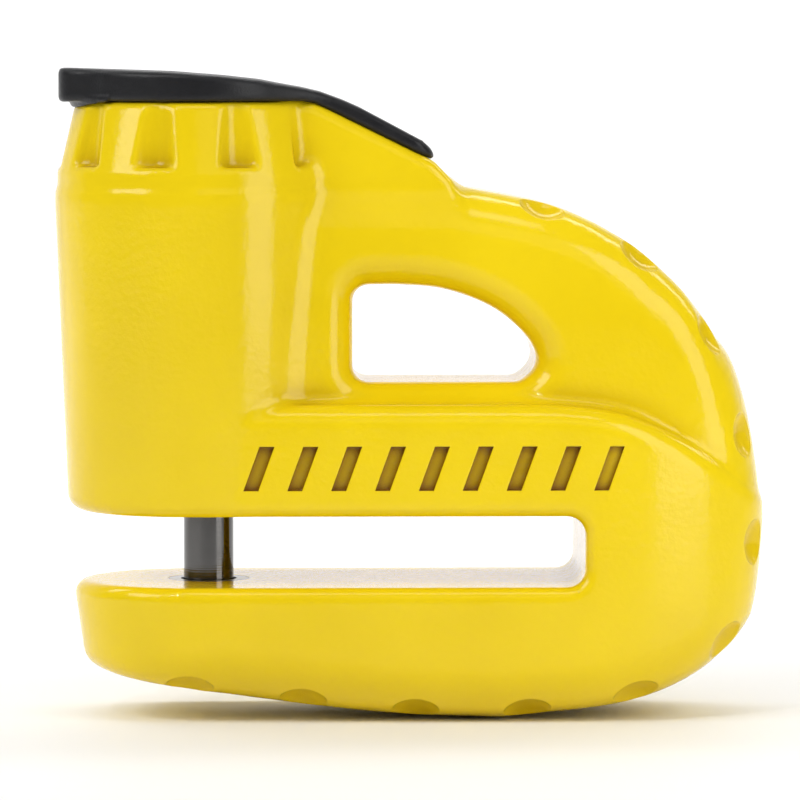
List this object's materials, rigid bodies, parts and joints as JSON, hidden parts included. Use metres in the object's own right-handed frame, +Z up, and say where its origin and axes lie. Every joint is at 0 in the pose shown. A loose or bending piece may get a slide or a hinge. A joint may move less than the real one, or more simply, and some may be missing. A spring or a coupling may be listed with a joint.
{
  "type": "disc brake lock",
  "caption": "Cast lock with a slot over a motorcycle's brake disc, a finger arch, a hinged dust cover and a key-driven pin that closes the slot.",
  "frame": {"origin": "where the locking pin's axis crosses the middle plane of the disc slot", "axes": "+Z up along the locking pin, from the jaw to the key face; +X from the slot's open mouth to its closed end; the body is symmetric across Y=0, but for its engraving"},
  "size_m": [0.0706, 0.0284, 0.0647],
  "materials": {
    "coated_body": "glossy yellow powder coat over a zinc casting",
    "cover_rubber": "semi-gloss black rubber",
    "seal_rubber": "matt black",
    "hardened_steel": "polished, with fine turning marks",
    "steel": "satin",
    "brass_parts": "satin"
  },
  "bodies": {
    "root": {"body_casting": "coated_body", "pin_guide_bushing": "steel", "jaw_bushing": "steel", "guide_liner": "steel", "liner_retaining_pin": "steel", "cylinder_housing": "steel", "housing_o_ring": "seal_rubber", "retaining_ring": "steel", "dust_strap": "cover_rubber", "strap_screws": "steel"},
    "plug": {"plug_sleeve": "brass_parts", "anti_drill_plate": "hardened_steel", "detainer_disc_1": "steel", "detainer_disc_2": "steel", "detainer_disc_3": "steel", "detainer_disc_4": "steel", "detainer_disc_5": "steel", "detainer_disc_6": "steel", "detainer_disc_7": "steel", "disc_spacers": "brass_parts", "sidebar": "steel", "drive_cam": "steel", "cam_cross_pin": "steel"},
    "pin": {"locking_pin": "hardened_steel", "pin_carrier": "steel", "carrier_cross_pin": "steel", "follower_pin": "hardened_steel"},
    "flap": {"dust_flap": "cover_rubber"}
  },
  "joints": [
    {"name": "key_turn", "type": "hinge", "parent": "root", "child": "plug", "pos_m": [0, 0, 0.035], "axis": [0, 0, -1], "range_deg": [0, 90]},
    {"name": "pin_slide", "type": "slide", "parent": "root", "child": "pin", "axis": [0, 0, 1], "range_m": [0, 0.0105]},
    {"name": "flap_hinge", "type": "hinge", "parent": "root", "child": "flap", "pos_m": [0.0098, 0, 0.0454], "axis": [0, 1, 0], "range_deg": [0, 110], "stiffness_Nm_per_rad": 0.002}
  ],
  "couplings": [
    {"joint": "key_turn", "follows": "pin_slide", "rad_per_m": 149.6}
  ]
}
